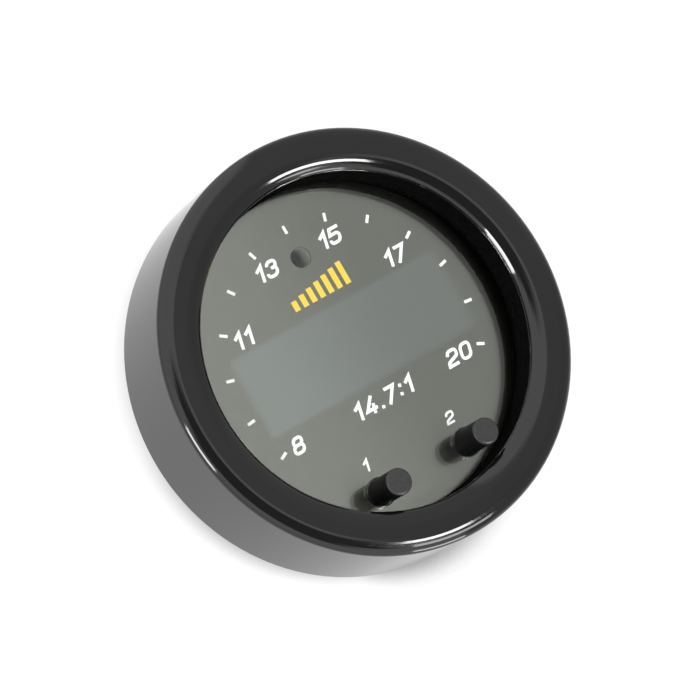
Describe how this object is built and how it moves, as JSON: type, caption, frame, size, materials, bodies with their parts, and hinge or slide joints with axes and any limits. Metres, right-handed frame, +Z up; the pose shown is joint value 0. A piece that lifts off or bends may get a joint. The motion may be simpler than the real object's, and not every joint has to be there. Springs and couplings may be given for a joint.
{
  "type": "air fuel ratio gauge",
  "caption": "Slim round dash gauge for air fuel ratio: deep black bezel, flat dark face with a lit scale and a display window, push buttons on the face, spigot for a panel hole.",
  "frame": {"origin": "on the gauge's axis, in the plane where the shoulder rests on the front of the panel", "axes": "+Y along the gauge's axis into the panel, so the face looks along -Y; +Z up the dial; +X to the right as a viewer sees the face"},
  "size_m": [0.06, 0.0218, 0.06],
  "materials": {
    "bezel": "gloss",
    "housing": "satin",
    "lens": "polished",
    "gasket": "matt",
    "film": "satin",
    "baffle": "matt",
    "diffuser": "matt",
    "display": "matt",
    "segments": "matt",
    "emitters": "satin",
    "sensor": "satin",
    "board": "satin",
    "chips": "matt",
    "ferrite": "matt",
    "cans": "satin",
    "buttons": "gloss",
    "switches": "satin",
    "plungers": "satin",
    "connectors": "satin",
    "pins": "plated",
    "inserts": "machined",
    "screws": "plated"
  },
  "bodies": {
    "gauge_case": {"bezel": "bezel", "housing": "housing", "rear_cover": "housing", "face_lens": "lens", "lens_gasket": "gasket", "dial_film": "film", "light_baffle": "baffle", "window_diffuser": "diffuser", "led_display": "display", "display_segments": "segments", "scale_leds": "emitters", "light_sensor": "sensor", "main_board": "board", "microcontroller": "chips", "led_driver": "chips", "voltage_regulator": "chips", "inductor": "ferrite", "capacitors": "cans", "crystal": "cans", "mode_switch": "switches", "select_switch": "switches", "power_connector": "connectors", "power_pins": "pins", "sensor_connector": "connectors", "sensor_pins": "pins", "bracket_inserts": "inserts", "board_screws": "screws", "cover_screws": "screws"},
    "mode_button_body": {"mode_button": "buttons", "mode_plunger": "plungers"},
    "select_button_body": {"select_button": "buttons", "select_plunger": "plungers"}
  },
  "joints": [
    {"name": "mode_press", "type": "slide", "parent": "gauge_case", "child": "mode_button_body", "axis": [0, 1, 0], "range_m": [0, 0.00035], "stiffness_N_per_m": 2000, "springref_m": -0.0003},
    {"name": "select_press", "type": "slide", "parent": "gauge_case", "child": "select_button_body", "axis": [0, 1, 0], "range_m": [0, 0.00035], "stiffness_N_per_m": 2000, "springref_m": -0.0003}
  ]
}
